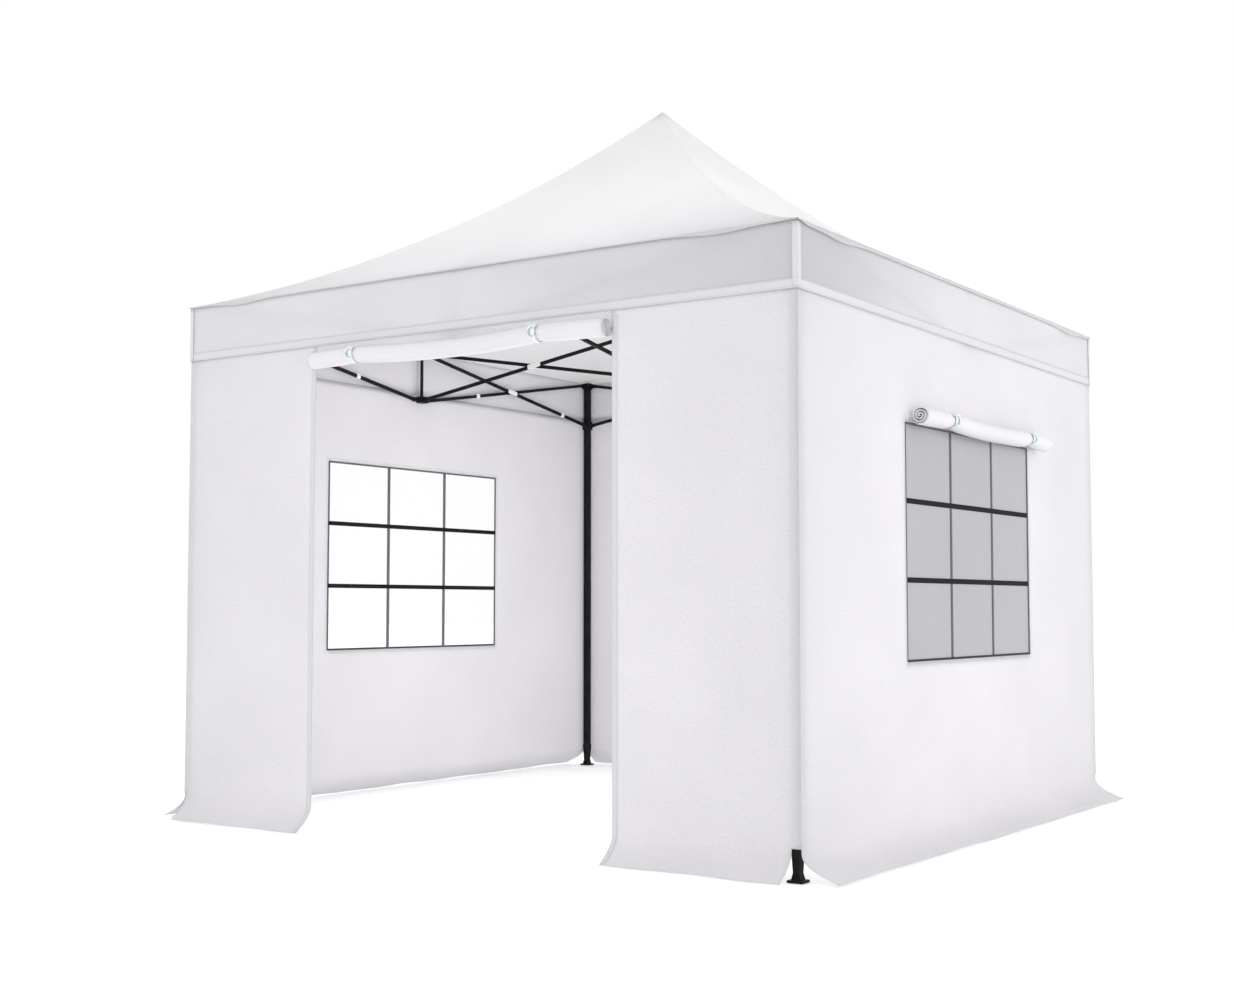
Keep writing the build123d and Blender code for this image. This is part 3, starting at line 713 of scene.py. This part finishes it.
def make_front_wall(door):
    """The panels each side of the doorway, the header that runs into the roll, and the zip tapes."""
    for name, left, right, seed in (
        ("front_wall_left", -WALL_EDGE, -DOOR_HALF, 11.0),
        ("front_wall_right", DOOR_HALF, WALL_EDGE, 12.0),
    ):
        panel = wall_sheet(name, "front", left, right, seed)
        sign = 1 if left > 0 else -1
        edges = sorted((sign * (DOOR_HALF + 0.001), sign * (DOOR_HALF + 0.025)))
        low_end = WALL_BEND - skirt_length("front") + 0.004
        zip_tape = wall_strip(name + "_zip", "front", steps(*edges, 2), steps(low_end, DOOR_TOP, 90),
                              seed, ZIP)
        if sign > 0:
            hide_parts("front_wall")
    header_height = WALL_TOP - door["up"]

    def header_point(u, v):
        inside = min(max(u, door["ends"][0]), door["ends"][1])
        drop = WALL_TOP - roll_axis(door, inside)[1]
        return place("front", u, WALL_FACE, WALL_TOP - drop * (1 - v / header_height))

    header = cloth("front_header", steps(-DOOR_HALF, DOOR_HALF, 60), steps(0.0, header_height, 6),
                   header_point, WALL)
    folds(header, "front")


def make_window(side, seed, material):
    """The film in a wall's opening, with its grid of tapes and its binding."""
    lift = skirt_length(side) - WALL_BEND
    depth = -0.0028

    def film_point(u, v):
        return wall_surface(side, u, v + lift, seed) + OUTWARD[side] * depth

    pane = cloth(f"{side}_window_film", steps(-WINDOW_HALF - FILM_LAP, WINDOW_HALF + FILM_LAP, 48),
                 steps(WINDOW_BOTTOM - FILM_LAP, WINDOW_TOP + FILM_LAP, 36), film_point, material, 0.0008)
    folds(pane, side)
    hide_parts(f"{side}_window")
    half = ROW_WIDTH / 2
    for i, row in enumerate(WINDOW_ROWS):
        wall_strip(f"{side}_window_row_{i}", side, steps(-WINDOW_HALF, WINDOW_HALF, 48),
                                 steps(row - half, row + half, 2), seed, BLACK_BAR, -0.0006, 0.0044)
    half = COLUMN_WIDTH / 2
    for i, column in enumerate((-WINDOW_HALF / 3, WINDOW_HALF / 3)):
        wall_strip(f"{side}_window_column_{i}", side, steps(column - half, column + half, 2),
                                 steps(WINDOW_BOTTOM, WINDOW_TOP, 36), seed, GREY_TAPE, -0.0008, 0.0040)
    for i, (low, high) in enumerate(((WINDOW_BOTTOM - 0.001, WINDOW_BOTTOM + BINDING),
                                     (WINDOW_TOP - BINDING, WINDOW_TOP + 0.001))):
        tape = GREY_TAPE if i else BLACK_BINDING
        wall_strip(f"{side}_window_edge_{i}", side, steps(-WINDOW_HALF, WINDOW_HALF, 48),
                                 steps(low, high, 2), seed, tape, 0.0006, 0.0050)
    for i, (left, right) in enumerate(((-WINDOW_HALF - 0.001, BINDING - WINDOW_HALF),
                                       (WINDOW_HALF - BINDING, WINDOW_HALF + 0.001))):
        wall_strip(f"{side}_window_side_{i}", side, steps(left, right, 2),
                                 steps(WINDOW_BOTTOM, WINDOW_TOP, 36), seed, GREY_TAPE, 0.0006, 0.0050)


def make_walls(door):
    """The front wall, and the right, back and left walls with their windows."""
    make_front_wall(door)
    for side, seed in (("right", 21.0), ("back", 31.0), ("left", 41.0)):
        opening = None if side == "back" else (WINDOW_HALF, WINDOW_BOTTOM, WINDOW_TOP)
        wall = wall_sheet(f"{side}_wall_cloth", side, -WALL_EDGE, WALL_EDGE, seed, opening)
        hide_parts(f"{side}_wall")
        height = skirt_length(side) + WALL_TOP - WALL_BEND
        area = 2 * WALL_EDGE * height
        if opening:
            area -= 2 * WINDOW_HALF * (WINDOW_TOP - WINDOW_BOTTOM)
        if opening:
            # The right window gets the film painted grey as shade.
            make_window(side, seed, PAINTED_SHADE_FILM if side == "right" else CLEAR_FILM)


# ---- rolled up door and window cover ----
def roll_axis(roll, along):
    """Centre (outwards, up) and the radius of a rolled panel at a place along it."""
    low, high = roll["ends"]
    ties = roll["ties"]
    stations = [low, *ties, high]
    sag = 0.0
    for start, end in zip(stations, stations[1:]):
        if start <= along <= end:
            t = (along - start) / (end - start)
            inner = start in ties and end in ties
            depth = roll["sag"] if inner else roll["sag"] * 0.35
            sag = depth * 4 * t * (1 - t) if inner else depth * (t if end == high else 1 - t)
    pinch = sum(math.exp(-((along - tie) / 0.045) ** 2) for tie in ties)
    uneven = 1 + 0.04 * wave(along * 6.0, 0.0, roll["seed"])
    radius = roll["radius"] * (1 - roll["pinch"] * pinch) * uneven
    return roll["out"], roll["up"] - sag, radius


def make_roll(roll):
    """A panel rolled on itself: a spiral section along a sagging line."""
    low, high = roll["ends"]
    side, pitch = roll["side"], roll["pitch"]
    turns = (roll["radius"] - ROLL_CORE) / pitch
    around = steps(0.0, turns * 2 * math.pi, round(turns * 22))
    lengths = [0.0]
    for a, b in zip(around, around[1:]):
        lengths.append(lengths[-1] + (b - a) * (roll["radius"] - pitch * (a + b) / (4 * math.pi)))

    def point(i, along):
        out, up, radius = roll_axis(roll, along)
        angle = around[i] + roll["start"]
        r = (roll["radius"] - pitch * around[i] / (2 * math.pi)) * radius / roll["radius"]
        r *= 1 + 0.015 * math.sin(3 * angle + along * 9)
        return place(side, along, out + r * math.cos(angle), up + r * math.sin(angle) * 0.94)

    columns = steps(low, high, round((high - low) / 0.02))
    points = [point(i, along) for i in range(len(around)) for along in columns]
    uvs = [(along, length) for length in lengths for along in columns]
    spiral = make_object(roll["name"], points, grid_faces(len(columns), len(around)), ROLLED, uvs,
                         ROLL_FILL * pitch)
    folds(spiral, side)
    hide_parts(roll["node"])


def make_ties(roll):
    """Webbing loops round a rolled panel, each with its moulded C hook on the front of the roll."""
    side = roll["side"]
    first_angle = math.radians(90) + TIE_OPENING
    last_angle = math.radians(450) - TIE_OPENING
    loop_radius = roll["radius"] + 0.001
    length = (last_angle - first_angle) * loop_radius
    for i, tie in enumerate(roll["ties"]):
        name = f"{roll['name']}_tie_{i}"

        def point(u, v):
            along = tie - TIE_WIDTH / 2 + v
            out, up, radius = roll_axis(roll, along)
            angle = min(first_angle + u / loop_radius, last_angle)
            r = radius + 0.0025
            return place(side, along, out + r * math.cos(angle), up + r * math.sin(angle) * 0.95)

        strap = cloth(name, steps(0.0, length, 40), steps(0.0, TIE_WIDTH, 3), point, WEBBING, -0.0016)
        out, up, radius = roll_axis(roll, tie)
        route = []
        for angle in steps(math.radians(48), math.radians(312), 28):
            rise = HOOK_RADIUS * math.sin(angle)
            seat = out + radius + 0.005 - 0.1 * abs(rise)
            route.append(place(side, tie + roll["hook"] * HOOK_RADIUS * math.cos(angle), seat, up + rise))
        hook = tube(name + "_hook", route, HOOK_ROD, HOOK_PLASTIC, 12)
        for piece in (strap, hook):
            folds(piece, side)
        if i == 0:
            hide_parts(roll["tie_node"])


def roll_facts(name, node, tie_node, side, wall, axis, cloth_length, sag, pinch, seed, start, hook):
    """What a rolled panel's functions need, from its CAD nodes' boxes.

    sag is how far it hangs between its ties, pinch the share by which a tie narrows it, start the
    angle of its outer end, and hook the side (+1 or -1) on which its C hooks are open.
    """
    low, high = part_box(node)
    tie_low, tie_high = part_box(tie_node)
    normal = 1 - axis
    radius = (high.z - low.z) / 2
    pitch = math.pi * (radius**2 - ROLL_CORE**2) / cloth_length
    return {
        "name": name,
        "node": node,
        "tie_node": tie_node,
        "side": side,
        "wall": wall,
        "ends": (low[axis], high[axis]),
        "ties": (tie_low[axis] + 0.015, tie_high[axis] - 0.015),
        "out": abs(low[normal] + high[normal]) / 2,
        "up": (low.z + high.z) / 2,
        "radius": radius,
        "pitch": pitch,
        "sag": sag,
        "pinch": pinch,
        "seed": seed,
        "start": start,
        "hook": hook,
    }


DOOR_ROLL = roll_facts("door_roll", "rolled_door", "door_ties", "front", "front_header", 0, 0.60,
                       0.018, 0.10, 51.0, math.radians(200), 1)
COVER_ROLL = roll_facts("window_cover_roll", "rolled_window_cover", "window_ties", "right",
                        "right_wall_cloth", 1, 0.44, 0.010, 0.28, 61.0, math.radians(250), -1)


def make_rolls():
    """The rolled up door and the rolled up window cover."""
    for roll in (DOOR_ROLL, COVER_ROLL):
        make_roll(roll)
        make_ties(roll)


# ---- small pieces on the frame ----
GUARD_SIZE = (0.078, 0.024, 0.005)      # length, height and depth of a guard on a crossing
CLIP_SIZE = (0.026, 0.024, 0.018)       # the same of a clip that holds the cloth to a bar
CLIP_SHARE = {"rising": 0.30, "falling": 0.84}   # its place from the inner to the outer pivot
BLOCK_POINTS = 32                       # points round a block


def bar_block(name, route, share, size, lift):
    """A moulded block on a scissor bar.

    route is (direction, across, plane, start, end): the bar's pivots run from start to end, each a
    pair of (distance, height), along direction in the plane at that distance across. share is the
    block's place from start to end, size its length, height and depth, and lift its shift across.
    """
    direction, across, plane, start, end = route
    slope = math.atan2(end[1] - start[1], end[0] - start[0])
    length, height, depth = size
    spot = (start[0] + (end[0] - start[0]) * share, start[1] + (end[1] - start[1]) * share)
    centre = across * (plane + lift) + direction * spot[0] + UP * spot[1]
    level = direction * math.cos(slope) + UP * math.sin(slope)
    upright = UP * math.cos(slope) - direction * math.sin(slope)
    points, faces = [], []
    outline = []
    for k in range(BLOCK_POINTS):
        angle = 2 * math.pi * (k + 0.5) / BLOCK_POINTS
        c, s = math.cos(angle), math.sin(angle)
        outline.append((math.copysign(abs(c) ** 0.35, c), math.copysign(abs(s) ** 0.35, s)))
    layers = ((-1.0, 0.86), (-0.85, 0.97), (0.0, 1.0), (0.85, 0.97), (1.0, 0.86))
    for side_way, scale in layers:
        for x, y in outline:
            points.append(centre + level * (x * scale * length / 2) + upright * (y * scale * height / 2)
                          + across * (side_way * depth / 2))
    for layer in range(len(layers) - 1):
        for k in range(BLOCK_POINTS):
            a, b = layer * BLOCK_POINTS + k, layer * BLOCK_POINTS + (k + 1) % BLOCK_POINTS
            faces.append((a, b, b + BLOCK_POINTS, a + BLOCK_POINTS))
    faces.append(tuple(reversed(range(BLOCK_POINTS))))
    faces.append(tuple(range(len(points) - BLOCK_POINTS, len(points))))
    block = make_object(name, points, faces, WHITE_PLASTIC)
    block.data.shade_flat()
    for polygon in block.data.polygons[: BLOCK_POINTS * (len(layers) - 1)]:
        polygon.use_smooth = True
    return block


def make_bar_pieces():
    """White guards on the scissor crossings, and the clips that hold the cloth to the side bars."""
    for side in SIDES:
        for kind, sign in (("near", -1), ("far", 1), ("inner", 0)):
            direction = ALONG[side] * sign if sign else OUTWARD[side]
            across = OUTWARD[side] if sign else ALONG[side]
            for way, shift in (("rising", 1), ("falling", -1)):
                low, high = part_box(f"{side}_{kind}_bar_{way}")
                heights = (low.z + BAR_TIP, high.z - BAR_TIP)
                if way == "falling":
                    heights = (heights[1], heights[0])
                start, end = (PIVOT_NEAR, heights[0]), (PIVOT_NEAR + BAR_SPAN, heights[1])
                outer = shift if sign else -shift
                plane = LEG_PLANE * abs(sign) + outer * BAR_OFFSET
                route = (direction, across, plane, start, end)
                guard = bar_block(f"{side}_{kind}_{way}_guard", route, 0.5, GUARD_SIZE,
                                  outer * (BAR_DEPTH + GUARD_SIZE[2]) / 2)
                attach(guard, f"{side}_{kind}_{way}")
                if sign:
                    clip = bar_block(f"{side}_{kind}_{way}_clip", route, CLIP_SHARE[way], CLIP_SIZE, 0.0)
                    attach(clip, f"{side}_{kind}_{way}")


def dress_nodes():
    """Every CAD node that stays gets its slot's material."""
    for item in frame["record"]["subparts"]:
        material = NODE_MATERIALS.get(item["material_slot"])
        if material:
            mesh = frame["nodes"][item["node"]].data
            mesh.materials.clear()
            mesh.materials.append(material)


# ---- floor, light and camera ----
def make_stage():
    """A white floor that runs out to a white sky."""
    floor_material = Nodes("studio floor")
    spot = floor_material.add("TexCoord").outputs["Object"]
    tone = floor_material.ramp(floor_material.noise(spot, 0.6), (0.93, 0.93, 0.93), (0.94, 0.94, 0.94))
    floor_material.shader.inputs["Emission Color"].default_value = (1, 1, 1, 1)
    floor_material.shader.inputs["Emission Strength"].default_value = 0.22
    floor_material.finish(tone, 0.9)
    reach, level = 60, -0.001
    corners = [(-reach, -reach, level), (reach, -reach, level), (reach, reach, level), (-reach, reach, level)]
    floor = make_object("floor", corners, [(0, 1, 2, 3)], floor_material.material)


def area_light(name, spot, target, size, power):
    """A soft square light aimed at a point."""
    light = bpy.data.lights.new(name, "AREA")
    light.shape = "SQUARE"
    light.size = size
    light.energy = power
    obj = bpy.data.objects.new(name, light)
    obj.location = spot
    obj.rotation_euler = (Vector(target) - Vector(spot)).to_track_quat("-Z", "Y").to_euler()
    obj.visible_camera = False
    bpy.context.scene.collection.objects.link(obj)


def make_light():
    """White surroundings, soft lights from the right and the front, and a small fill inside."""
    world = bpy.data.worlds.new("studio")
    world.use_nodes = True
    world.node_tree.nodes["Background"].inputs["Color"].default_value = (1, 1, 1, 1)
    world.node_tree.nodes["Background"].inputs["Strength"].default_value = 1.0
    bpy.context.scene.world = world
    area_light("main", (10, 2, 2.8), (0, 0, 1.2), 6, 180)
    area_light("front", (-3, -10, 6), (0, 0, 1.2), 5, 95)
    inside = bpy.data.lights.new("inside fill", "POINT")
    inside.shadow_soft_size = 0.5
    inside.energy = 46
    fill = bpy.data.objects.new("inside fill", inside)
    fill.location = (0.2, -0.1, 1.1)
    fill.visible_camera = False
    bpy.context.scene.collection.objects.link(fill)


def make_camera():
    """The camera stands low in front of the near corner."""
    data = bpy.data.cameras.new("camera")
    data.lens = 48.19
    data.sensor_width = 36
    camera = bpy.data.objects.new("camera", data)
    camera.location = (4.0956, -6.3871, 0.9105)
    camera.rotation_euler = (math.radians(93.705), 0, math.radians(34.283))
    bpy.context.scene.collection.objects.link(camera)
    bpy.context.scene.camera = camera
    bpy.context.scene.view_settings.view_transform = "Standard"


dress_nodes()
make_roof()
make_valance()
make_walls(DOOR_ROLL)
make_rolls()
make_bar_pieces()
make_stage()
make_light()
make_camera()
